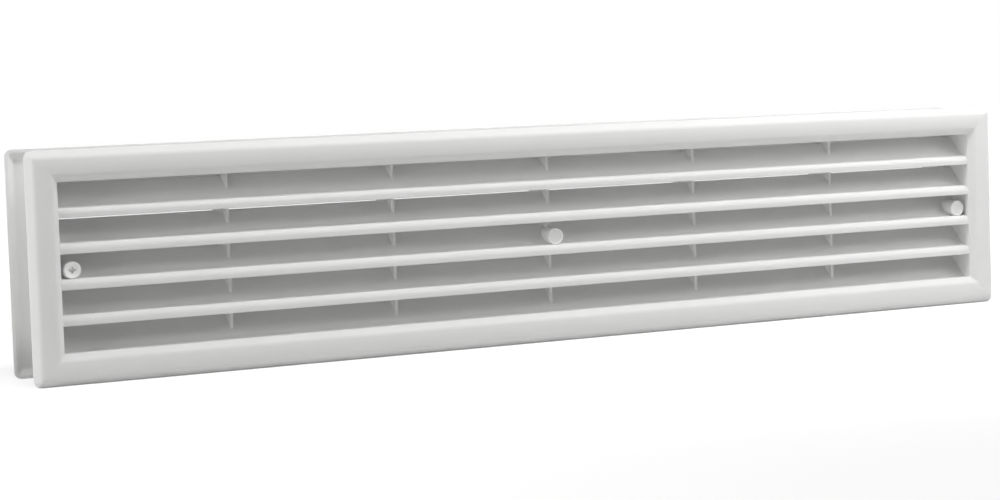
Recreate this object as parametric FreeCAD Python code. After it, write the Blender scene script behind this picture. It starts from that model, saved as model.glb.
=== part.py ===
import FreeCAD, Part
import math
import os

# Door vent grille: two moulded louvre halves that clamp a door leaf between their flanges.
# The rear half's collar slides inside the front half's collar, and three screws in
# moulded posts draw the halves together. Sizes are in millimetres.
# The origin is the centre of the closed vent, the front face looks along -Y, and Z is up.
# Each half is drawn once, with its own depth measured inward from its visible face.

# Overall sizes
overall_length = 457.0
overall_height = 92.0
clamp_gap = 32.0

# Flange that covers the edge of the cut-out
flange_depth = 4.0
flange_border = 12.5
flange_wall = 1.45
corner_radius = 3.0
outer_bevel = 2.75
inner_bevel = 2.4
crown_height = 0.4
edge_land = 0.8
rim_land = 1.4
rim_bevel = 2.4

# Collars that pass through the door
collar_wall = 1.4
collar_clearance = 0.3
collar_end_gap = 1.0
collar_overlap = 6.0
collar_step_depth = 4.5
halves_gap = 0.6

# Louvre blades
nose_pitch = 14.05
nose_height = 4.2
first_gap = 9.95
smallest_last_gap = 8.0
nose_setback = 2.9
nose_radius = 2.8
hollow_radius = 5.0
blade_wall = 1.45
blade_angle = 45.0
sight_gap = 1.7

# Webs that stiffen the blades
web_count = 5
web_end_bay = 71.2
web_setback = 11.3
web_wall = 1.4

# Screw posts
post_diameter = 7.3
post_setback = 4.8
post_end_gap = 1.35
post_root = 0.2
post_edge_bevel = 0.6
post_floor = 1.1
post_meeting_gap = 0.2

# Screws
screw_diameter = 2.8
screw_running_clearance = 0.05
screw_passage_clearance = 0.25
screw_head_diameter = 7.2
screw_head_height = 2.2
screw_head_bevel = 0.6
screw_end_gap = 1.0
screw_point = 2.0
thread_hold = 5.0
drive_width = 0.9
drive_length = 3.0
drive_depth = 1.3

# Sizes that follow from the ones above
depth = clamp_gap + 2 * flange_depth
face_offset = depth / 2
opening_length = overall_length - 2 * flange_border
opening_height = overall_height - 2 * flange_border
opening_top = opening_height / 2
nose_room = opening_height - first_gap - nose_height - smallest_last_gap
nose_count = 1 + int(nose_room // nose_pitch)
nose_tops = [opening_top - first_gap - index * nose_pitch for index in range(nose_count)]
sill_top = -opening_top
web_pitch = (opening_length - 2 * web_end_bay) / (web_count - 1)
post_spread = opening_length / 2 - post_end_gap - post_diameter / 2
post_height = nose_tops[nose_count // 2] + post_diameter / 2 - post_root
post_places = {"left": -post_spread, "middle": 0.0, "right": post_spread}
post_end = (depth - post_meeting_gap) / 2
post_seat = post_setback + screw_head_height
screw_tip = depth - post_setback - post_floor - screw_end_gap
clamp_travel = screw_tip - (depth - post_end) - thread_hold
front_collar_length = depth - collar_step_depth - collar_end_gap
rear_collar_length = depth - front_collar_length + clamp_travel + collar_overlap
front_core_depth = depth - rear_collar_length - halves_gap
tolerance = 0.001
along_x = FreeCAD.Vector(1, 0, 0)
along_y = FreeCAD.Vector(0, 1, 0)
centre = FreeCAD.Vector(0, 0, 0)


def section_point(inward, height):
    """A point of a section in the plane X = 0."""
    return FreeCAD.Vector(0, inward, height)


def lines_through(*points):
    """Straight edges through the given points, in order."""
    return [Part.makeLine(start, end) for start, end in zip(points, points[1:])]


def arc_through(start, middle, end):
    """One round edge through three points."""
    return Part.Arc(start, middle, end).toShape()


def prism_along_x(edges, length):
    """A solid of the closed section, centred on X = 0."""
    outline = Part.Wire(Part.__sortEdges__(edges))
    face = Part.Face(outline)
    face.translate(along_x * (-length / 2))
    return face.extrude(along_x * length)


def box_between(low, high):
    """A box from its low corner to its high corner."""
    size = high - low
    return Part.makeBox(size.x, size.y, size.z, low)


def cylinder_inward(place_x, diameter, start, end):
    """A cylinder on a post's axis between two depths."""
    base = FreeCAD.Vector(place_x, start, post_height)
    return Part.makeCylinder(diameter / 2, end - start, base, along_y)


def flange_outer_edges(outside):
    """The visible face: edge land, outer bevel, crowned face and inner bevel."""
    face_start = outside - outer_bevel
    face_end = outside - flange_border + inner_bevel
    face_middle = (face_start + face_end) / 2
    land = section_point(flange_depth - edge_land, outside)
    bevel_end = section_point(crown_height, face_start)
    crown = section_point(0, face_middle)
    face_stop = section_point(crown_height, face_end)
    opening_edge = section_point(crown_height + inner_bevel, outside - flange_border)
    edges = lines_through(section_point(flange_depth, outside), land, bevel_end)
    edges.append(arc_through(bevel_end, crown, face_stop))
    return edges + lines_through(face_stop, opening_edge), opening_edge


def rim_points(outside, root):
    """The hollow back of the flange, from the collar's root to the rim."""
    hollow = crown_height + flange_wall
    return [
        section_point(hollow, root),
        section_point(hollow, outside - rim_land - rim_bevel),
        section_point(flange_depth, outside - rim_land),
        section_point(flange_depth, outside),
    ]


def front_section(outside):
    """Flange and outer collar of the front half, as one closed section."""
    edges, opening_edge = flange_outer_edges(outside)
    inner = outside - flange_border
    outer = inner + collar_wall
    tip = front_collar_length
    back = [opening_edge, section_point(tip, inner), section_point(tip, outer)]
    return edges + lines_through(*back, *rim_points(outside, outer))


def rear_section(outside):
    """Flange and inner collar of the rear half, stepped in to slide inside the other."""
    edges, opening_edge = flange_outer_edges(outside)
    inner = outside - flange_border
    sleeve_outer = inner - collar_clearance
    sleeve_inner = sleeve_outer - collar_wall
    tip = rear_collar_length
    step_end = collar_step_depth
    back = [
        opening_edge,
        section_point(step_end - collar_wall, inner),
        section_point(step_end - collar_wall, sleeve_inner),
        section_point(tip, sleeve_inner),
        section_point(tip, sleeve_outer),
        section_point(step_end, sleeve_outer),
        section_point(step_end, inner + collar_wall),
    ]
    return edges + lines_through(*back, *rim_points(outside, inner + collar_wall))


def mitred_bar(section, outside, length):
    """One side of the flange ring, cut at 45 degrees at both ends."""
    bar = prism_along_x(section(outside), length)
    reach = flange_border + collar_clearance + 2 * collar_wall
    corners = [(-length / 2, outside), (length / 2, outside)]
    corners += [(length / 2 - reach, outside - reach), (reach - length / 2, outside - reach)]
    points = [FreeCAD.Vector(x, -flange_depth, z) for x, z in corners]
    mitre = Part.Face(Part.makePolygon(points + points[:1])).extrude(along_y * (2 * depth))
    return bar.common(mitre)


def rounded_outline():
    """A block with the vent's rounded outline, through its whole depth."""
    low = FreeCAD.Vector(-overall_length / 2, -flange_depth, -overall_height / 2)
    high = FreeCAD.Vector(overall_length / 2, 2 * depth, overall_height / 2)
    block = box_between(low, high)
    corners = [edge for edge in block.Edges if edge.Curve.Direction.cross(along_y).Length < tolerance]
    return block.makeFillet(corner_radius, corners)


def flange_ring(section):
    """Four mitred bars joined to a ring, with the outline's corners rounded."""
    bars = []
    for turn in range(4):
        level = turn % 2 == 0
        outside = overall_height / 2 if level else overall_length / 2
        length = overall_length if level else overall_height
        bar = mitred_bar(section, outside, length)
        bar.rotate(centre, along_y, 90 * turn)
        bars.append(bar)
    ring = bars[0].multiFuse(bars[1:]).removeSplitter()
    return ring.common(rounded_outline())


def blade_edges(top, rise, with_nose):
    """A blade's closed section: nose, hollow blend, slope and rounded apex."""
    slope = math.radians(blade_angle)
    crest = nose_setback + nose_radius
    hub = section_point(crest, top + hollow_radius)
    run = (rise - hollow_radius * (1 - math.cos(slope))) / math.tan(slope)
    climb = section_point(run, run * math.tan(slope))

    def skin(radius):
        """One side of the blade: the hollow blend about its hub, then the slope."""
        turns = (0, slope / 2, slope)
        points = [hub + section_point(math.sin(turn), -math.cos(turn)) * radius for turn in turns]
        apex = points[2] + climb
        return points[0], apex, [arc_through(*points), Part.makeLine(points[2], apex)]

    front_top, apex_top, upper = skin(hollow_radius)
    front_under, apex_under, under = skin(hollow_radius + blade_wall)
    outward = section_point(math.cos(slope), math.sin(slope)) * (blade_wall / 2)
    cap = arc_through(apex_top, (apex_top + apex_under) / 2 + outward, apex_under)
    front = nose_edges(top, front_top, front_under) if with_nose else lines_through(front_top, front_under)
    return upper + [cap] + under + front


def nose_edges(top, front_top, front_under):
    """The rounded nose: a quarter round down to a thin lip with a hollow behind it."""
    diagonal = math.sqrt(0.5)
    hub = front_top - section_point(0, nose_radius)
    inner_radius = nose_radius - blade_wall
    lip = top - nose_height
    outer_front = section_point(nose_setback, top - nose_radius)
    inner_front = section_point(nose_setback + blade_wall, top - nose_radius)
    outer_arc = arc_through(front_top, hub + section_point(-diagonal, diagonal) * nose_radius, outer_front)
    inner_arc = arc_through(inner_front, hub + section_point(-diagonal, diagonal) * inner_radius, front_under)
    lip_lines = lines_through(
        outer_front,
        section_point(nose_setback, lip),
        section_point(nose_setback + blade_wall, lip),
        inner_front,
    )
    return [outer_arc] + lip_lines + [inner_arc]


def blades():
    """All blades of one half, the lowest one rising from the sill without a nose."""
    length = opening_length + collar_wall
    solids = []
    ceiling = opening_top
    for top in nose_tops:
        solids.append(prism_along_x(blade_edges(top, ceiling - sight_gap - top, True), length))
        ceiling = top - nose_height
    solids.append(prism_along_x(blade_edges(sill_top, ceiling - sight_gap - sill_top, False), length))
    return solids


def webs(core_depth):
    """Thin upright plates behind the noses, as deep as their half's core."""
    solids = []
    for index in range(web_count):
        place = (index - (web_count - 1) / 2) * web_pitch
        reach = opening_top + collar_wall / 2
        low = FreeCAD.Vector(place - web_wall / 2, web_setback, -reach)
        high = FreeCAD.Vector(place + web_wall / 2, core_depth, reach)
        solids.append(box_between(low, high))
    return solids


def post(place_x, open_ended):
    """A round screw post: open ones seat a screw's head, blind ones show a plain disc."""
    if open_ended:
        return cylinder_inward(place_x, post_diameter, post_seat, post_end)
    body = cylinder_inward(place_x, post_diameter, post_setback, post_end)
    face_edge = [edge for edge in body.Edges if edge.CenterOfMass.y - post_setback < tolerance]
    return body.makeChamfer(post_edge_bevel, face_edge)


def post_bore(place_x, open_ended):
    """The hole in a post: a passage through an open one, a blind pilot in the other."""
    clearance = screw_passage_clearance if open_ended else screw_running_clearance
    start = 0.0 if open_ended else post_setback + post_floor
    return cylinder_inward(place_x, screw_diameter + 2 * clearance, start, depth)


def head_room(place_x):
    """Space in front of an open post for the screw's head."""
    diameter = screw_head_diameter + 2 * screw_passage_clearance
    return cylinder_inward(place_x, diameter, post_setback - screw_passage_clearance, post_seat)


def moulded_half(section, core_depth, open_places):
    """One half: flange ring, blades, webs and posts grown together."""
    features = blades() + webs(core_depth)
    features += [post(place, name in open_places) for name, place in post_places.items()]
    body = flange_ring(section).multiFuse(features)
    cutters = [post_bore(place, name in open_places) for name, place in post_places.items()]
    cutters += [head_room(post_places[name]) for name in open_places]
    return body.cut(cutters)


def sleeve_envelope():
    """The room that the inner collar and all it carries may fill."""
    reach = FreeCAD.Vector(overall_length, 0, overall_height)
    flange_room = box_between(-reach - along_y * flange_depth, reach + along_y * collar_step_depth)
    side = opening_length / 2 - collar_clearance
    top = opening_top - collar_clearance
    low = FreeCAD.Vector(-side, 0, -top)
    sleeve_room = box_between(low, FreeCAD.Vector(side, depth, top))
    return flange_room.fuse(sleeve_room)


def front_half():
    """The half with the outer collar, in its place at the front."""
    solid = moulded_half(front_section, front_core_depth, ["left"])
    solid.translate(along_y * -face_offset)
    return solid


def rear_half():
    """The half with the inner collar, turned to face the rear."""
    solid = moulded_half(rear_section, rear_collar_length, ["middle", "right"]).common(sleeve_envelope())
    solid = solid.mirror(centre, along_y)
    solid.translate(along_y * face_offset)
    return solid


def screw(place_x):
    """A pan-head screw with a cross recess, drawn with its head's face at the post's setback."""
    head_face = post_setback
    radius = screw_diameter / 2
    head_radius = screw_head_diameter / 2
    edges = lines_through(
        section_point(head_face, 0),
        section_point(head_face, head_radius - screw_head_bevel),
        section_point(head_face + screw_head_bevel, head_radius),
        section_point(post_seat, head_radius),
        section_point(post_seat, radius),
        section_point(screw_tip - screw_point, radius),
        section_point(screw_tip, 0),
        section_point(head_face, 0),
    )
    body = Part.Face(Part.Wire(edges)).revolve(centre, along_y, 360)
    for width, height in ((drive_length, drive_width), (drive_width, drive_length)):
        low = FreeCAD.Vector(-width / 2, head_face - drive_depth, -height / 2)
        high = FreeCAD.Vector(width / 2, head_face + drive_depth, height / 2)
        body = body.cut(box_between(low, high))
    body.translate(FreeCAD.Vector(place_x, 0, post_height))
    return body


def front_screw(name):
    """A screw driven from the front."""
    solid = screw(post_places[name])
    solid.translate(along_y * -face_offset)
    return solid


def rear_screw(name):
    """A screw driven from the rear."""
    solid = screw(post_places[name]).mirror(centre, along_y)
    solid.translate(along_y * face_offset)
    return solid


def write_part(name, solid):
    """Write one piece, after a check that it is a sound single solid."""
    print(name, "solids", len(solid.Solids), "valid", solid.isValid(), "volume", round(solid.Volume, 1))
    solid.exportStep(os.path.join("parts", name + ".step"))


os.makedirs("parts", exist_ok=True)
print("travel between the closed and the widest clamp", clamp_travel)
write_part("front_grille", front_half())
write_part("rear_grille", rear_half())
write_part("screw_left", front_screw("left"))
write_part("screw_middle", rear_screw("middle"))
write_part("screw_right", rear_screw("right"))
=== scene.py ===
"""The looks of a door vent grille: two moulded louvre halves and the three screws between them.

Sizes are in millimetres and are turned into metres where a mesh is made. Each half is described
once, with depths measured inward from its visible face, and then set at the front or the rear.
"""

import logging
import math
from dataclasses import dataclass
from enum import Enum
from typing import Callable, Sequence

import bmesh
import bpy
from mathutils import Matrix, Vector


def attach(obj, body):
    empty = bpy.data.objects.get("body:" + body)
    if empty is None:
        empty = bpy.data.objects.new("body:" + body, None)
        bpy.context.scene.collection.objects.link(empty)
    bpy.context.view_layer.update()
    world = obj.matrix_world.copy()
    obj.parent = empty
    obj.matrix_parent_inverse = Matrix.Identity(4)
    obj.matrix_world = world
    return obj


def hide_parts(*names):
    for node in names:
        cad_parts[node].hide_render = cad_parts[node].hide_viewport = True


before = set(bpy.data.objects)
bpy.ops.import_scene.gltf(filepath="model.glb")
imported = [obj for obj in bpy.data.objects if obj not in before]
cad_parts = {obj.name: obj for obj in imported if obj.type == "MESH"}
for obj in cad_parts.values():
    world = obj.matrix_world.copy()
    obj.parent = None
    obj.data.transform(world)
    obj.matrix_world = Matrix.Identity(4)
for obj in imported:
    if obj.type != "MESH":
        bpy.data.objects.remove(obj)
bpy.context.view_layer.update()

log = logging.getLogger("door_vent")

Point = tuple[float, float]
Place = tuple[float, float, float]
Direction = tuple[float, float, float]
Colour = tuple[float, float, float]
RadiusAt = Callable[[float], float]
Ring = tuple[float, RadiusAt]
Row = Sequence[bmesh.types.BMVert]

MM = 0.001

# Where the three posts and their screws stand, in millimetres
POST_PLACES = {"left": -211.0, "middle": 0.0, "right": 211.0}
POST_HEIGHT = -1.1

# Shares along a blade at which its section is repeated, from one end to the other
BLADE_STATIONS = (-1, -0.5, 0, 0.5, 1)

# Signs of length and height in each corner of a flange, anticlockwise from the upper right
CORNER_SIGNS = ((1, 1), (-1, 1), (-1, -1), (1, -1))

# Distances along an outline that count as the same, in millimetres
SAME_PLACE = 1e-9

# Edges that turn by more than this stay sharp
SHARP_ANGLE = math.radians(38)

# The shading by which large flat faces stay flat between rounded edges, and its strength
SHADING_NAME = "face_weighted_shading"
FACE_WEIGHT = 100

# The part of a noise pattern that is spread over the whole range, and its detail
NOISE_LOW = 0.3
NOISE_HIGH = 0.7
NOISE_ROUGHNESS = 0.55
CLOUD_DETAIL = 3.0
GLOSS_DETAIL = 4.0
RELIEF_DETAIL = 2.0

# How far light glows through in red, green and blue, as shares of a finish's glow depth
EVEN_REACH = (1.0, 1.0, 1.0)


class Side(Enum):
    """The side of the door that a half or a screw belongs to."""

    FRONT = "front"
    REAR = "rear"

    def place(self, inward: float) -> float:
        """Turn a depth from this side's visible face into the frame's Y, in millimetres."""
        outward = VentSizes().depth / 2 - inward
        return -outward if self is Side.FRONT else outward

    @property
    def body(self) -> str:
        """The moving body that this side's moulding rides on."""
        return f"{self.value}_half"

    @property
    def node(self) -> str:
        """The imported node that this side's moulding stands for."""
        return f"{self.value}_grille"


class PostKind(Enum):
    """What a screw post shows on its visible face."""

    BLIND = "plain disc"
    OPEN = "seat for a screw head"


@dataclass(frozen=True)
class VentSizes:
    """Overall sizes of the closed vent."""

    length: float = 457.0
    height: float = 92.0
    depth: float = 40.0
    border: float = 12.5

    @property
    def opening_half_length(self) -> float:
        """Half the length of the louvred opening."""
        return self.length / 2 - self.border

    @property
    def opening_half_height(self) -> float:
        """Half the height of the louvred opening."""
        return self.height / 2 - self.border


@dataclass(frozen=True)
class Corner:
    """A corner of a section and how far its rounding reaches along the sides.

    The depth is measured from the visible face. The other number is a height, or for a
    flange the distance from the vent's outline.
    """

    inward: float
    across: float
    soften: float = 0.0


class Section:
    """A closed outline whose marked corners are rounded."""

    def __init__(self, corners: Sequence[Corner], steps: int = 6) -> None:
        """Keep the corners in order.

        Args:
            corners: The outline's corners, once round.
            steps: How many edges a rounded corner gets.
        """
        self.corners = list(corners)
        self.steps = steps
        self.places = [Vector((corner.inward, corner.across)) for corner in self.corners]
        self.marks = [0.0]
        for start, end in zip(self.places, self.places[1:] + self.places[:1]):
            self.marks.append(self.marks[-1] + (end - start).length)
        self.girth = self.marks[-1]

    def at(self, distance: float) -> Vector:
        """The place at a distance along the outline.

        Args:
            distance: How far to walk from the first corner, either way round.

        Returns:
            The point of the sharp outline that is reached.
        """
        distance %= self.girth
        count = len(self.places)
        index = max(i for i in range(count) if self.marks[i] <= distance + SAME_PLACE)
        start = self.places[index]
        end = self.places[(index + 1) % count]
        run = self.marks[index + 1] - self.marks[index]
        return start.lerp(end, (distance - self.marks[index]) / run)

    def hidden(self, index: int) -> bool:
        """Whether a plain corner lies in the reach of a neighbour's rounding."""
        for other, corner in enumerate(self.corners):
            gap = abs(self.marks[index] - self.marks[other])
            gap = min(gap, self.girth - gap)
            if other != index and corner.soften > 0 and gap < corner.soften:
                return True
        return False

    def points(self) -> list[Point]:
        """The rounded outline.

        Returns:
            Points once round, each a depth and a height or distance.
        """
        found: list[Point] = []
        for index, corner in enumerate(self.corners):
            if corner.soften <= 0:
                if not self.hidden(index):
                    found.append((corner.inward, corner.across))
                continue
            before = self.at(self.marks[index] - corner.soften)
            after = self.at(self.marks[index] + corner.soften)
            for step in range(self.steps + 1):
                share = step / self.steps
                near = before.lerp(self.places[index], share)
                far = self.places[index].lerp(after, share)
                place = near.lerp(far, share)
                found.append((place.x, place.y))
        return found


def arc(hub: Point, radius: float, start: float, end: float, steps: int) -> list[Corner]:
    """Corners along a circular arc.

    Args:
        hub: The arc's centre, as a depth and a height.
        radius: The arc's radius.
        start: Angle of the first corner in degrees, 0 inward and 90 up.
        end: Angle of the last corner in degrees.
        steps: How many edges the arc gets.

    Returns:
        The corners from start to end.
    """
    corners = []
    for step in range(steps + 1):
        angle = math.radians(start + (end - start) * step / steps)
        inward = hub[0] + radius * math.cos(angle)
        corners.append(Corner(inward, hub[1] + radius * math.sin(angle)))
    return corners


def steady(radius: float) -> RadiusAt:
    """A ring's radius that is the same all round."""
    return lambda angle: radius


def even_rings(profile: Sequence[Point]) -> list[Ring]:
    """Round rings from a profile of depths and radii."""
    return [(inward, steady(radius)) for inward, radius in profile]


def add_object(name: str, data: bpy.types.ID) -> bpy.types.Object:
    """Add an object that holds the given data to the scene."""
    made = bpy.data.objects.new(name, data)
    bpy.context.scene.collection.objects.link(made)
    return made


class Shape:
    """A mesh under construction, in millimetres, on one side of the door."""

    def __init__(self, side: Side) -> None:
        """Start an empty mesh for the given side."""
        self.side = side
        self.mesh = bmesh.new()

    def vertex(self, x: float, inward: float, z: float) -> bmesh.types.BMVert:
        """Add a vertex at a length, a depth from the visible face and a height."""
        return self.mesh.verts.new((x * MM, self.side.place(inward) * MM, z * MM))

    def skin(self, rows: Sequence[Row], closed: bool) -> None:
        """Cover neighbouring rows with four-sided faces.

        Args:
            rows: Rows of as many vertices each, closed within themselves.
            closed: Whether the last row joins the first one.
        """
        count = len(rows[0])
        ends = len(rows) if closed else len(rows) - 1
        for row in range(ends):
            here, there = rows[row], rows[(row + 1) % len(rows)]
            for index in range(count):
                after = (index + 1) % count
                self.mesh.faces.new((here[index], here[after], there[after], there[index]))

    def loft(self, rows: Sequence[Row]) -> None:
        """Cover neighbouring rows, and close the first and the last with a face each.

        Args:
            rows: Rows of as many vertices each, closed within themselves.
        """
        self.skin(rows, closed=False)
        self.mesh.faces.new(list(reversed(rows[0])))
        self.mesh.faces.new(rows[-1])

    def round_rows(self, rings: Sequence[Ring], hub: Point, count: int) -> list[Row]:
        """Add the vertices of rings about an axis that runs through the door.

        Args:
            rings: A depth for each ring, and the ring's radius at an angle.
            hub: The axis, as a length and a height.
            count: How many vertices each ring gets.

        Returns:
            The vertices of each ring.
        """
        angles = [2 * math.pi * index / count for index in range(count)]
        rows = []
        for inward, radius in rings:
            rows.append([
                self.vertex(
                    hub[0] + radius(angle) * math.cos(angle),
                    inward,
                    hub[1] + radius(angle) * math.sin(angle),
                )
                for angle in angles
            ])
        return rows

    def turned(self, rings: Sequence[Ring], hub: Point, count: int) -> None:
        """Turn rings about an axis that runs through the door, and close both ends.

        Args:
            rings: A depth for each ring, and the ring's radius at an angle.
            hub: The axis, as a length and a height.
            count: How many vertices each ring gets.
        """
        rows = self.round_rows(rings, hub, count)
        self.skin(rows, closed=False)
        for row, inward in ((rows[0], rings[0][0]), (rows[-1], rings[-1][0])):
            middle = self.vertex(hub[0], inward, hub[1])
            for index in range(count):
                self.mesh.faces.new((row[index], row[(index + 1) % count], middle))

    def as_object(self, name: str) -> bpy.types.Object:
        """Turn the mesh, with its faces turned outward, into an object of the scene.

        Args:
            name: The name of the object and its mesh.

        Returns:
            The new object.
        """
        bmesh.ops.recalc_face_normals(self.mesh, faces=self.mesh.faces)
        data = bpy.data.meshes.new(name)
        self.mesh.to_mesh(data)
        self.mesh.free()
        return add_object(name, data)

    def piece(self, name: str, finish: "Finish", body: str, node: str) -> bpy.types.Object:
        """Finish the mesh as a named piece that rides on a body.

        Args:
            name: The piece's name.
            finish: The finish that it is dressed in.
            body: The moving body that it rides on.
            node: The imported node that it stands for.

        Returns:
            The new object.
        """
        made = self.as_object(name)
        dress(made, finish)
        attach(made, body)
        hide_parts(node)
        log.info("%s: %d faces on %s", name, len(made.data.polygons), body)
        return made

    def moulding(self, name: str) -> None:
        """Finish the mesh as a named piece of this side's moulding.

        Args:
            name: The piece's name, after its side's.
        """
        self.piece(f"{self.side.value}_{name}", MOULDED_PLASTIC, self.side.body, self.side.node)


def dress(made: bpy.types.Object, finish: "Finish") -> None:
    """Give an object its finish and smooth shading between its sharp edges.

    Args:
        made: The object.
        finish: The finish whose material it takes.
    """
    made.data.shade_smooth()
    made.data.set_sharp_from_angle(angle=SHARP_ANGLE)
    made.data.materials.clear()
    made.data.materials.append(finish.material())
    weighting = made.modifiers.new(SHADING_NAME, "WEIGHTED_NORMAL")
    weighting.keep_sharp = True
    weighting.weight = FACE_WEIGHT


def noise(
    tree: bpy.types.NodeTree,
    places: bpy.types.NodeSocket,
    length: float,
    detail: float,
) -> bpy.types.NodeSocket:
    """A cloudy pattern of a given size on the surface.

    Args:
        tree: The material's nodes.
        places: The coordinates that the pattern follows.
        length: Size of the pattern's features, in metres.
        detail: How much finer pattern is laid over it.

    Returns:
        The pattern, from 0 to 1.
    """
    node = tree.nodes.new("ShaderNodeTexNoise")
    node.inputs["Scale"].default_value = 1 / length
    node.inputs["Detail"].default_value = detail
    node.inputs["Roughness"].default_value = NOISE_ROUGHNESS
    tree.links.new(places, node.inputs["Vector"])
    return node.outputs["Fac"]


@dataclass(frozen=True)
class Finish:
    """A finish with fine grain and slight unevenness of tone and gloss.

    Lengths, heights and the depth to which light glows through are in metres.
    """

    slot: str
    tone: Colour
    tone_spread: float
    roughness: float
    roughness_spread: float
    grain_length: float
    grain_height: float
    ripple_length: float
    ripple_height: float
    cloud_length: float
    index: float = 1.46
    glow_through: float = 0.0
    glow_depth: float = 0.001

    def material(self) -> bpy.types.Material:
        """The finish's material, made once and then reused.

        Returns:
            A material whose tone, gloss and fine relief come from its nodes.
        """
        found = bpy.data.materials.get(self.slot)
        if found:
            return found
        made = bpy.data.materials.new(self.slot)
        made.use_nodes = True
        tree = made.node_tree
        shader = tree.nodes["Principled BSDF"]
        shader.inputs["IOR"].default_value = self.index
        shader.inputs["Subsurface Weight"].default_value = self.glow_through
        shader.inputs["Subsurface Radius"].default_value = EVEN_REACH
        shader.inputs["Subsurface Scale"].default_value = self.glow_depth
        places = tree.nodes.new("ShaderNodeTexCoord").outputs["Object"]
        self.add_tone(tree, shader, places)
        self.add_gloss(tree, shader, places)
        self.add_relief(tree, shader, places)
        return made

    def add_tone(
        self,
        tree: bpy.types.NodeTree,
        shader: bpy.types.Node,
        places: bpy.types.NodeSocket,
    ) -> None:
        """Let the colour drift slightly over the surface."""
        ramp = tree.nodes.new("ShaderNodeValToRGB")
        ramp.color_ramp.elements[0].position = NOISE_LOW
        ramp.color_ramp.elements[1].position = NOISE_HIGH
        for element, sign in zip(ramp.color_ramp.elements, (-1, 1)):
            shift = 1 + sign * self.tone_spread
            element.color = (*(min(1.0, value * shift) for value in self.tone), 1.0)
        clouds = noise(tree, places, self.cloud_length, CLOUD_DETAIL)
        tree.links.new(clouds, ramp.inputs["Fac"])
        tree.links.new(ramp.outputs["Color"], shader.inputs["Base Color"])

    def add_gloss(
        self,
        tree: bpy.types.NodeTree,
        shader: bpy.types.Node,
        places: bpy.types.NodeSocket,
    ) -> None:
        """Let the gloss vary in small patches, as on a moulding's skin."""
        spread = tree.nodes.new("ShaderNodeMapRange")
        spread.inputs["From Min"].default_value = NOISE_LOW
        spread.inputs["From Max"].default_value = NOISE_HIGH
        spread.inputs["To Min"].default_value = self.roughness - self.roughness_spread
        spread.inputs["To Max"].default_value = self.roughness + self.roughness_spread
        patches = noise(tree, places, self.ripple_length, GLOSS_DETAIL)
        tree.links.new(patches, spread.inputs["Value"])
        tree.links.new(spread.outputs["Result"], shader.inputs["Roughness"])

    def add_relief(
        self,
        tree: bpy.types.NodeTree,
        shader: bpy.types.Node,
        places: bpy.types.NodeSocket,
    ) -> None:
        """Lay a fine grain over a faint ripple."""
        ripple = tree.nodes.new("ShaderNodeBump")
        ripple.inputs["Distance"].default_value = self.ripple_height
        ripples = noise(tree, places, self.ripple_length, RELIEF_DETAIL)
        tree.links.new(ripples, ripple.inputs["Height"])
        grain = tree.nodes.new("ShaderNodeBump")
        grain.inputs["Distance"].default_value = self.grain_height
        grains = noise(tree, places, self.grain_length, RELIEF_DETAIL)
        tree.links.new(grains, grain.inputs["Height"])
        tree.links.new(ripple.outputs["Normal"], grain.inputs["Normal"])
        tree.links.new(grain.outputs["Normal"], shader.inputs["Normal"])


MOULDED_PLASTIC = Finish(
    slot="white_plastic",
    tone=(0.857, 0.858, 0.86),
    tone_spread=0.012,
    roughness=0.19,
    roughness_spread=0.04,
    grain_length=0.0006,
    grain_height=0.000012,
    ripple_length=0.012,
    ripple_height=0.00006,
    cloud_length=0.05,
    glow_through=0.4,
    glow_depth=0.0012,
)

SCREW_PAINT_AND_SHADE = Finish(
    slot="white_screw",
    # The grey tone is partly the head's own paint and partly painted shade. It darkens the whole
    # head as if it were lit less, deep in its post.
    tone=(0.54, 0.54, 0.54),
    tone_spread=0.03,
    roughness=0.3,
    roughness_spread=0.08,
    grain_length=0.0004,
    grain_height=0.00002,
    ripple_length=0.002,
    ripple_height=0.00003,
    cloud_length=0.003,
)


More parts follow.
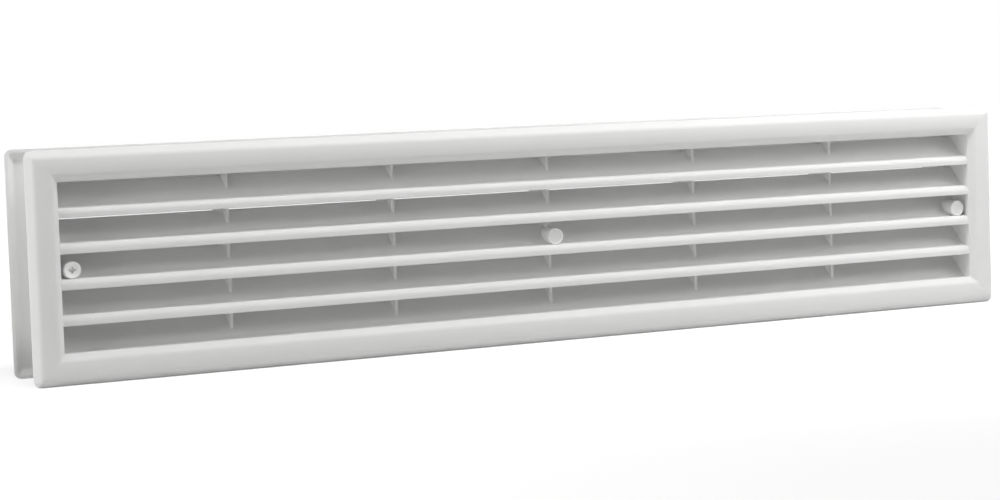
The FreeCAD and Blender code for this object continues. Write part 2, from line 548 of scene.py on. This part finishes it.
@dataclass(frozen=True)
class Flange:
    """The flange ring of one half, with the collar that goes through the door."""

    side: Side
    sizes: VentSizes = VentSizes()
    flange_depth: float = 4.0
    wall: float = 1.45
    corner_radius: float = 3.0
    inner_corner_radius: float = 0.5
    outer_bevel: float = 2.75
    inner_bevel: float = 2.4
    crown: float = 0.4
    edge_land: float = 0.8
    rim_land: float = 1.4
    rim_bevel: float = 2.4
    collar_wall: float = 1.4
    collar_clearance: float = 0.3
    collar_step: float = 4.5
    front_collar: float = 34.5
    rear_collar: float = 19.5
    face_softness: float = 0.85
    edge_softness: float = 0.3
    root_softness: float = 0.6
    crown_steps: int = 8
    corner_steps: int = 10

    def face(self) -> list[Corner]:
        """The visible face from the rim over the crown to the opening's edge."""
        start = self.outer_bevel
        end = self.sizes.border - self.inner_bevel
        half = (end - start) / 2
        radius = (half * half + self.crown * self.crown) / (2 * self.crown)
        corners = [
            Corner(self.flange_depth, 0.0, self.edge_softness),
            Corner(self.flange_depth - self.edge_land, 0.0, self.edge_land / 2),
        ]
        for step in range(self.crown_steps + 1):
            across = -half + 2 * half * step / self.crown_steps
            inward = radius - math.sqrt(radius * radius - across * across)
            softness = self.face_softness if step in (0, self.crown_steps) else 0.0
            corners.append(Corner(inward, start + half + across, softness))
        corners.append(Corner(self.crown + self.inner_bevel, self.sizes.border, self.edge_softness))
        return corners

    def hollow(self) -> list[Corner]:
        """The hollow back of the flange, from the collar's root to the rim."""
        floor = self.crown + self.wall
        return [
            Corner(floor, self.sizes.border - self.collar_wall, self.root_softness),
            Corner(floor, self.rim_land + self.rim_bevel, self.root_softness),
            Corner(self.flange_depth, self.rim_land, self.edge_softness),
        ]

    def collar(self) -> list[Corner]:
        """The collar: plain on the front half, stepped inward on the rear half."""
        border, wall = self.sizes.border, self.collar_wall
        if self.side is Side.FRONT:
            return [
                Corner(self.front_collar, border, self.edge_softness),
                Corner(self.front_collar, border - wall, self.edge_softness),
            ]
        outer = border + self.collar_clearance
        shoulder = self.collar_step - wall + self.edge_softness
        return [
            Corner(shoulder, border),
            Corner(shoulder, outer + wall, self.edge_softness),
            Corner(self.rear_collar, outer + wall, self.edge_softness),
            Corner(self.rear_collar, outer, self.edge_softness),
            Corner(self.collar_step, outer, self.edge_softness),
            Corner(self.collar_step, border - wall, self.edge_softness),
        ]

    def loop(self, shape: Shape, inward: float, across: float) -> Row:
        """One closed run round the ring, with its four corners rounded.

        Args:
            shape: The mesh that gets the vertices.
            inward: The run's depth.
            across: The run's distance from the outline.

        Returns:
            The vertices once round.
        """
        radius = max(self.corner_radius - across, self.inner_corner_radius)
        found = []
        for quarter, (sign_x, sign_z) in enumerate(CORNER_SIGNS):
            hub_x = sign_x * (self.sizes.length / 2 - across - radius)
            hub_z = sign_z * (self.sizes.height / 2 - across - radius)
            for step in range(self.corner_steps + 1):
                angle = math.radians(90 * quarter + 90 * step / self.corner_steps)
                x = hub_x + radius * math.cos(angle)
                z = hub_z + radius * math.sin(angle)
                found.append(shape.vertex(x, inward, z))
        return found

    def build(self) -> None:
        """Build and dress the ring."""
        shape = Shape(self.side)
        section = Section(self.face() + self.collar() + self.hollow())
        rows = [self.loop(shape, inward, across) for inward, across in section.points()]
        shape.skin(rows, closed=True)
        shape.moulding("flange")


@dataclass(frozen=True)
class Louvre:
    """The blades of one half: four with a nose, and one that rises from the sill."""

    side: Side
    sizes: VentSizes = VentSizes()
    nose_pitch: float = 14.05
    nose_height: float = 4.2
    first_gap: float = 9.95
    nose_count: int = 4
    setback: float = 2.9
    nose_radius: float = 2.8
    hollow_radius: float = 5.0
    wall: float = 1.45
    slope: float = 45.0
    sight_gap: float = 1.7
    lip_softness: float = 0.35
    arc_steps: int = 12
    root: float = 0.7
    sleeve_inset: float = 1.0
    sleeve_start: float = 3.5
    sleeve_full: float = 4.1

    def nose_tops(self) -> list[float]:
        """The height of each nose's top, from the highest down."""
        top = self.sizes.opening_half_height - self.first_gap
        return [top - index * self.nose_pitch for index in range(self.nose_count)]

    def outline(self, top: float, rise: float, nosed: bool) -> Section:
        """A blade's section.

        Args:
            top: Height of the nose's top, or of the sill.
            rise: How far the apex stands above it.
            nosed: Whether the blade has a nose.

        Returns:
            The section: nose, hollow blend, slope and rounded apex.
        """
        crest = self.setback + self.nose_radius
        angle = math.radians(self.slope)
        hub = (crest, top + self.hollow_radius)
        upper = arc(hub, self.hollow_radius, -90, self.slope - 90, self.arc_steps)
        under = arc(hub, self.hollow_radius + self.wall, self.slope - 90, -90, self.arc_steps)
        run = (rise - self.hollow_radius * (1 - math.cos(angle))) / math.tan(angle)
        apex = (
            (upper[-1].inward + under[0].inward) / 2 + run,
            (upper[-1].across + under[0].across) / 2 + run * math.tan(angle),
        )
        cap = arc(apex, self.wall / 2, self.slope + 90, self.slope - 90, self.arc_steps)
        corners = upper + cap + under
        if nosed:
            corners += self.nose(top, crest)
        return Section(corners)

    def nose(self, top: float, crest: float) -> list[Corner]:
        """The nose from its underside round to the top.

        Args:
            top: Height of the nose's top.
            crest: Depth of the nose's top.

        Returns:
            The corners from the inner arc over the lip to the outer arc.
        """
        hub = (crest, top - self.nose_radius)
        lip = top - self.nose_height
        inner = arc(hub, self.nose_radius - self.wall, 90, 180, self.arc_steps)
        outer = arc(hub, self.nose_radius, 180, 90, self.arc_steps)
        lips = [
            Corner(self.setback + self.wall, lip, self.lip_softness),
            Corner(self.setback, lip, self.lip_softness),
        ]
        return inner[1:] + lips + outer[:-1]

    def reach(self, inward: float) -> float:
        """Half a blade's length at a depth, so that its ends stay in the wall round it."""
        wide = self.sizes.opening_half_length + self.root
        if self.side is Side.FRONT:
            return wide
        share = (inward - self.sleeve_start) / (self.sleeve_full - self.sleeve_start)
        return wide - (self.root + self.sleeve_inset) * min(1.0, max(0.0, share))

    def blade(self, name: str, top: float, rise: float, nosed: bool) -> None:
        """Build and dress one blade.

        Args:
            name: The blade's name, after its side.
            top: Height of the nose's top, or of the sill.
            rise: How far the apex stands above it.
            nosed: Whether the blade has a nose.
        """
        points = self.outline(top, rise, nosed).points()
        if self.side is Side.REAR:
            floor = self.sleeve_inset - self.sizes.opening_half_height
            points = [(inward, max(z, floor)) for inward, z in points]
        shape = Shape(self.side)
        shape.loft([
            [shape.vertex(share * self.reach(inward), inward, z) for inward, z in points]
            for share in BLADE_STATIONS
        ])
        shape.moulding(name)

    def build(self) -> None:
        """Build every blade, from the top one down to the sill's."""
        ceiling = self.sizes.opening_half_height
        for number, top in enumerate(self.nose_tops(), start=1):
            self.blade(f"blade_{number}", top, ceiling - self.sight_gap - top, True)
            ceiling = top - self.nose_height
        sill = -self.sizes.opening_half_height
        self.blade("sill_blade", sill, ceiling - self.sight_gap - sill, False)


@dataclass(frozen=True)
class Webs:
    """The thin upright plates behind the noses of one half."""

    side: Side
    sizes: VentSizes = VentSizes()
    count: int = 5
    pitch: float = 72.4
    setback: float = 11.3
    wall: float = 1.4
    front_depth: float = 19.9
    rear_depth: float = 19.5
    root: float = 0.7
    sleeve_inset: float = 1.0
    softness: float = 0.35
    edge_steps: int = 4

    def build(self) -> None:
        """Build and dress every web."""
        front = self.side is Side.FRONT
        end = self.front_depth if front else self.rear_depth
        reach = self.sizes.opening_half_height + (self.root if front else -self.sleeve_inset)
        half = self.wall / 2
        points = Section([
            Corner(self.setback, -half, self.softness),
            Corner(self.setback, half, self.softness),
            Corner(end, half, self.softness / 2),
            Corner(end, -half, self.softness / 2),
        ], self.edge_steps).points()
        for index in range(self.count):
            place = (index - (self.count - 1) / 2) * self.pitch
            shape = Shape(self.side)
            shape.loft([
                [shape.vertex(place + across, inward, z) for inward, across in points]
                for z in (-reach, 0.0, reach)
            ])
            shape.moulding(f"web_{index + 1}")


@dataclass(frozen=True)
class Post:
    """One round screw post of a half.

    A blind post shows a flat dish inside a half-round rim. An open one is a tube with a seat
    for a screw head. Depths are measured from the visible face.
    """

    side: Side
    name: str
    kind: PostKind
    diameter: float = 7.3
    setback: float = 4.8
    seat: float = 7.0
    end: float = 19.9
    edge: float = 0.4
    rim: float = 0.4
    dish: float = 0.4
    bore: float = 1.65
    pilot: float = 1.45
    floor: float = 1.1
    back_bevel: float = 0.2
    dish_shares: tuple[float, ...] = (0.3, 0.6, 0.9, 1.0)
    rim_steps: int = 5
    edge_steps: int = 6
    count: int = 56

    def face(self) -> list[Point]:
        """The depths and radii of a blind post's dish and of the inner side of its rim."""
        dish = self.diameter / 2 - self.edge - self.rim
        profile = [(self.setback + self.dish, share * dish) for share in self.dish_shares]
        for step in range(1, self.rim_steps):
            angle = math.pi / 2 * step / self.rim_steps
            inward = self.setback + self.dish * (1 - math.sin(angle))
            profile.append((inward, dish + self.rim * (1 - math.cos(angle))))
        return profile

    def barrel(self, start: float, edge: float, hole: float) -> list[Point]:
        """The depths and radii from the face's rounded edge along the post to its bore.

        Args:
            start: Depth of the face.
            edge: Radius of the face's rounded edge.
            hole: Radius of the bore at the post's end.

        Returns:
            The profile, which ends at the bore's mouth.
        """
        radius = self.diameter / 2
        profile = []
        for step in range(self.edge_steps + 1):
            angle = math.pi / 2 * step / self.edge_steps
            inward = start + edge * (1 - math.cos(angle))
            profile.append((inward, radius - edge * (1 - math.sin(angle))))
        return profile + [
            (self.end - self.back_bevel, radius),
            (self.end, radius - self.back_bevel),
            (self.end, hole),
        ]

    def build(self) -> None:
        """Build and dress the post."""
        shape = Shape(self.side)
        hub = (POST_PLACES[self.name], POST_HEIGHT)
        if self.kind is PostKind.BLIND:
            profile = self.face() + self.barrel(self.setback, self.edge, self.pilot)
            profile.append((self.setback + self.floor, self.pilot))
            shape.turned(even_rings(profile), hub, self.count)
        else:
            middle = (self.diameter / 2 + self.bore) / 2
            profile = [(self.seat, self.bore), (self.seat, middle)]
            profile += self.barrel(self.seat, self.edge / 2, self.bore)
            shape.skin(shape.round_rows(even_rings(profile), hub, self.count), closed=True)
        shape.moulding(f"post_{self.name}")


@dataclass(frozen=True)
class Screw:
    """A screw with a dished head, a cross recess and a thread.

    Depths are measured from the visible face of the half that it is driven from.
    """

    side: Side
    name: str
    head_face: float = 4.8
    seat: float = 7.0
    head_radius: float = 3.6
    dish: float = 0.7
    dish_shares: tuple[float, ...] = (0.2, 0.4, 0.6, 0.8, 0.93)
    rim_radius: float = 0.65
    rim_steps: int = 7
    seat_bevel: float = 0.1
    neck: float = 0.3
    neck_swell: float = 0.1
    run_in: float = 1.0
    shank_radius: float = 1.4
    core_radius: float = 1.08
    thread_start: float = 9.5
    tip: float = 33.1
    tip_radius: float = 0.12
    point: float = 2.0
    pitch: float = 1.25
    ridge_share: float = 0.3
    ring_gap: float = 0.125
    count: int = 40
    recess_width: float = 0.95
    recess_length: float = 3.1
    recess_depth: float = 1.9
    cutter_stand: float = 0.5
    mouth_scale: float = 1.12
    floor_scale: float = 0.55
    width_taper: float = 0.4

    @property
    def hub(self) -> Point:
        """The screw's axis, as a length and a height."""
        return POST_PLACES[self.name], POST_HEIGHT

    def head(self) -> list[Ring]:
        """The rings of the dished head, from its face over the rim to its seat."""
        dished = self.head_radius - self.rim_radius
        profile = [
            (self.head_face + self.dish * (1 - share * share), share * dished)
            for share in self.dish_shares
        ]
        for step in range(self.rim_steps + 1):
            angle = math.pi / 2 * step / self.rim_steps
            inward = self.head_face + self.rim_radius * (1 - math.cos(angle))
            profile.append((inward, dished + self.rim_radius * math.sin(angle)))
        profile += [
            (self.seat - self.seat_bevel, self.head_radius),
            (self.seat, self.head_radius - self.seat_bevel),
            (self.seat, self.shank_radius),
        ]
        return even_rings(profile)

    def shank(self) -> list[Ring]:
        """The rings of the shank, whose radius follows the thread round."""
        rings = [(self.seat + self.neck, steady(self.core_radius + self.neck_swell))]
        inward = self.seat + self.run_in
        while inward < self.tip:
            rings.append((inward, self.thread_radius(inward)))
            inward += self.ring_gap
        rings.append((self.tip, steady(self.tip_radius)))
        return rings

    def thread_radius(self, inward: float) -> RadiusAt:
        """The shank's radius round one ring.

        Args:
            inward: The ring's depth.

        Returns:
            A function from the angle to the radius, highest where the thread's crest passes.
        """
        taper = min(1.0, (self.tip - inward) / self.point)
        start = self.seat + self.run_in
        growth = min(1.0, max(0.0, (inward - start) / (self.thread_start - start)))
        height = (self.shank_radius - self.core_radius) * growth

        def radius(angle: float) -> float:
            """The radius at an angle: a crest once in each turn."""
            phase = (inward / self.pitch - angle / (2 * math.pi)) % 1.0
            ridge = max(0.0, 1 - abs(phase - 0.5) / self.ridge_share)
            return max(self.tip_radius, (self.core_radius + height * ridge) * taper)

        return radius

    def build(self) -> None:
        """Build and dress the screw."""
        shape = Shape(self.side)
        shape.turned(self.head() + self.shank(), self.hub, self.count)
        node = f"screw_{self.name}"
        made = shape.piece(f"{node}_threaded", SCREW_PAINT_AND_SHADE, f"{self.name}_screw", node)
        self.cut_recess(made)

    def wing(self, along: bool) -> bpy.types.Object:
        """One tapered arm of the cross recess, as a cutter.

        Args:
            along: Whether the arm lies along the vent or upright.

        Returns:
            The cutter, which is removed after its cut.
        """
        shape = Shape(self.side)
        hub_x, hub_z = self.hub
        ends = (
            (self.head_face - self.cutter_stand, self.mouth_scale),
            (self.head_face + self.recess_depth, self.floor_scale),
        )
        rows = []
        for inward, scale in ends:
            long = self.recess_length / 2 * scale
            wide = self.recess_width / 2 * (1 - self.width_taper + self.width_taper * scale)
            corners = [(-long, -wide), (long, -wide), (long, wide), (-long, wide)]
            if not along:
                corners = [(z, x) for x, z in reversed(corners)]
            rows.append([shape.vertex(hub_x + x, inward, hub_z + z) for x, z in corners])
        shape.loft(rows)
        return shape.as_object("recess_cutter")

    def cut_recess(self, made: bpy.types.Object) -> None:
        """Cut the cross recess into the head.

        Args:
            made: The screw's object, whose mesh is replaced by the cut one.
        """
        shading = made.modifiers[SHADING_NAME]
        shading.show_viewport = False
        for along in (True, False):
            cutter = self.wing(along)
            cut = made.modifiers.new("recess", "BOOLEAN")
            cut.object = cutter
            cut.solver = "EXACT"
            bpy.context.view_layer.update()
            graph = bpy.context.evaluated_depsgraph_get()
            data = bpy.data.meshes.new_from_object(made.evaluated_get(graph))
            made.modifiers.remove(cut)
            bpy.data.objects.remove(cutter)
            made.data = data
        made.data.set_sharp_from_angle(angle=SHARP_ANGLE)
        shading.show_viewport = True


@dataclass(frozen=True)
class SoftLamp:
    """A large rectangular lamp that faces a point."""

    name: str
    place: Place
    aim: Place
    width: float
    height: float
    watts: float

    def build(self) -> None:
        """Add the lamp to the scene."""
        data = bpy.data.lights.new(self.name, "AREA")
        data.shape = "RECTANGLE"
        data.size = self.width
        data.size_y = self.height
        data.energy = self.watts
        lamp = add_object(self.name, data)
        lamp.location = self.place
        lamp.visible_camera = False
        direction = Vector(self.aim) - Vector(self.place)
        lamp.rotation_euler = direction.to_track_quat("-Z", "Y").to_euler()


@dataclass(frozen=True)
class Stage:
    """The pale floor, the white surroundings and the soft lamps. Lengths are in metres."""

    floor_height: float = -0.046
    floor_size: float = 6.0
    floor_tone: float = 0.8
    floor_lift: float = 0.5
    lift_start: float = 0.2
    lift_full: float = 0.75
    ambient: float = 0.085
    lamps: tuple[SoftLamp, ...] = (
        SoftLamp("overhead_lamp", (0, -0.1, 0.28), (0, 0, 0), 0.9, 0.04, 0.82),
        SoftLamp("slant_lamp", (0.06, -0.19, 0.27), (0, 0, 0), 0.8, 0.2, 0.36),
        SoftLamp("top_lamp", (0, 0.0, 0.32), (0, 0, 0), 0.9, 0.1, 0.16),
        SoftLamp("right_lamp", (0.25, -0.1, 0.2), (0.2, 0, 0), 0.3, 0.06, 0.07),
        SoftLamp("right_front_lamp", (0.5, -0.3, 0.22), (0.18, 0, 0), 0.2, 0.2, 0.62),
        SoftLamp("left_lamp", (-1.2, -0.1, 0.1), (-0.23, 0, 0), 0.6, 0.4, 2.0),
        SoftLamp("left_near_lamp", (-0.72, -0.08, 0.08), (-0.23, 0, 0), 0.4, 0.3, 0.9),
        SoftLamp("back_lamp", (0.1, 0.6, 0.12), (0, 0, 0), 1.0, 0.3, 2.0),
    )

    def white_for_camera(self, tree: bpy.types.NodeTree) -> bpy.types.NodeSocket:
        """A factor that is 1 on rays that show the surroundings and 0 on rays that light.

        Args:
            tree: The nodes of the floor or the world.

        Returns:
            The factor's socket.
        """
        path = tree.nodes.new("ShaderNodeLightPath")
        total = path.outputs["Is Camera Ray"]
        for name in ("Is Glossy Ray", "Is Transmission Ray"):
            add = tree.nodes.new("ShaderNodeMath")
            add.operation = "MAXIMUM"
            tree.links.new(total, add.inputs[0])
            tree.links.new(path.outputs[name], add.inputs[1])
            total = add.outputs["Value"]
        return total

    def build_world(self) -> None:
        """Make the surroundings white to the eye and a plain fill to the object."""
        world = bpy.data.worlds.new("white_surroundings")
        bpy.context.scene.world = world
        world.use_nodes = True
        tree = world.node_tree
        tree.nodes.clear()
        output = tree.nodes.new("ShaderNodeOutputWorld")
        fill = tree.nodes.new("ShaderNodeBackground")
        fill.inputs["Strength"].default_value = self.ambient
        seen = tree.nodes.new("ShaderNodeBackground")
        for background in (fill, seen):
            background.inputs["Color"].default_value = (1, 1, 1, 1)
        mix = tree.nodes.new("ShaderNodeMixShader")
        tree.links.new(self.white_for_camera(tree), mix.inputs["Fac"])
        tree.links.new(fill.outputs["Background"], mix.inputs[1])
        tree.links.new(seen.outputs["Background"], mix.inputs[2])
        tree.links.new(mix.outputs["Shader"], output.inputs["Surface"])

    def fade_to_white(self, tree: bpy.types.NodeTree) -> bpy.types.NodeSocket:
        """How far the floor's own look gives way to the white surroundings.

        Args:
            tree: The floor's nodes.

        Returns:
            The lift near the vent, and 1 far from it.
        """
        length = tree.nodes.new("ShaderNodeVectorMath")
        length.operation = "LENGTH"
        places = tree.nodes.new("ShaderNodeTexCoord").outputs["Object"]
        tree.links.new(places, length.inputs[0])
        fade = tree.nodes.new("ShaderNodeMapRange")
        fade.interpolation_type = "SMOOTHSTEP"
        fade.inputs["From Min"].default_value = self.lift_start
        fade.inputs["From Max"].default_value = self.lift_full
        fade.inputs["To Min"].default_value = self.floor_lift
        fade.inputs["To Max"].default_value = 1.0
        tree.links.new(length.outputs["Value"], fade.inputs["Value"])
        return fade.outputs["Result"]

    def build_floor(self) -> None:
        """Lay the floor that the vent stands on."""
        mesh = bmesh.new()
        bmesh.ops.create_grid(mesh, x_segments=2, y_segments=2, size=self.floor_size / 2)
        data = bpy.data.meshes.new("pale_floor")
        mesh.to_mesh(data)
        mesh.free()
        floor = add_object("pale_floor", data)
        floor.location = (0, 0, self.floor_height)
        made = bpy.data.materials.new("pale_floor")
        made.use_nodes = True
        tree = made.node_tree
        tree.nodes.clear()
        output = tree.nodes.new("ShaderNodeOutputMaterial")
        diffuse = tree.nodes.new("ShaderNodeBsdfDiffuse")
        diffuse.inputs["Color"].default_value = (self.floor_tone,) * 3 + (1,)
        glow = tree.nodes.new("ShaderNodeEmission")
        lift = tree.nodes.new("ShaderNodeMath")
        lift.operation = "MULTIPLY"
        tree.links.new(self.white_for_camera(tree), lift.inputs[0])
        tree.links.new(self.fade_to_white(tree), lift.inputs[1])
        tree.links.new(lift.outputs["Value"], glow.inputs["Strength"])
        total = tree.nodes.new("ShaderNodeAddShader")
        tree.links.new(diffuse.outputs["BSDF"], total.inputs[0])
        tree.links.new(glow.outputs["Emission"], total.inputs[1])
        tree.links.new(total.outputs["Shader"], output.inputs["Surface"])
        data.materials.append(made)

    def build(self) -> None:
        """Build floor, surroundings and lamps."""
        self.build_world()
        self.build_floor()
        for lamp in self.lamps:
            lamp.build()
        bpy.context.scene.view_settings.view_transform = "Standard"


@dataclass(frozen=True)
class Viewpoint:
    """The camera at the place from which the vent was seen.

    The place and the clipping distances are in metres, the lens and sensor in millimetres.
    """

    place: Place = (-0.4306, -0.8755, 0.0711)
    right: Direction = (0.90354, -0.42714, -0.03412)
    down: Direction = (-0.05555, -0.0378, -0.99774)
    ahead: Direction = (0.42488, 0.9034, -0.05788)
    lens: float = 80.82
    sensor: float = 36.0
    shift_up: float = -0.05
    nearest: float = 0.01
    farthest: float = 50.0

    def build(self) -> None:
        """Add the camera and make it the scene's own."""
        data = bpy.data.cameras.new("viewpoint")
        data.lens = self.lens
        data.sensor_width = self.sensor
        data.sensor_fit = "HORIZONTAL"
        data.shift_y = self.shift_up
        data.clip_start = self.nearest
        data.clip_end = self.farthest
        camera = add_object("viewpoint", data)
        columns = [Vector(self.right), -Vector(self.down), -Vector(self.ahead), Vector(self.place)]
        rows = [[column[row] for column in columns] for row in range(3)]
        camera.matrix_world = Matrix(rows + [[0, 0, 0, 1]])
        bpy.context.scene.camera = camera


@dataclass(frozen=True)
class Half:
    """One moulded half: flange, louvre, webs and posts."""

    side: Side
    open_posts: tuple[str, ...]

    def build(self) -> None:
        """Build and dress the whole moulding."""
        Flange(self.side).build()
        Louvre(self.side).build()
        Webs(self.side).build()
        for name in POST_PLACES:
            kind = PostKind.OPEN if name in self.open_posts else PostKind.BLIND
            Post(self.side, name, kind).build()


def main() -> None:
    """Build the vent, its stage and its camera in order."""
    logging.basicConfig(level=logging.INFO, format="%(name)s: %(message)s")
    Viewpoint().build()
    Stage().build()
    driven_from = {Side.FRONT: ("left",), Side.REAR: ("middle", "right")}
    for side, names in driven_from.items():
        Half(side, names).build()
    for side, names in driven_from.items():
        for name in names:
            Screw(side, name).build()


if __name__ == "__main__":
    main()
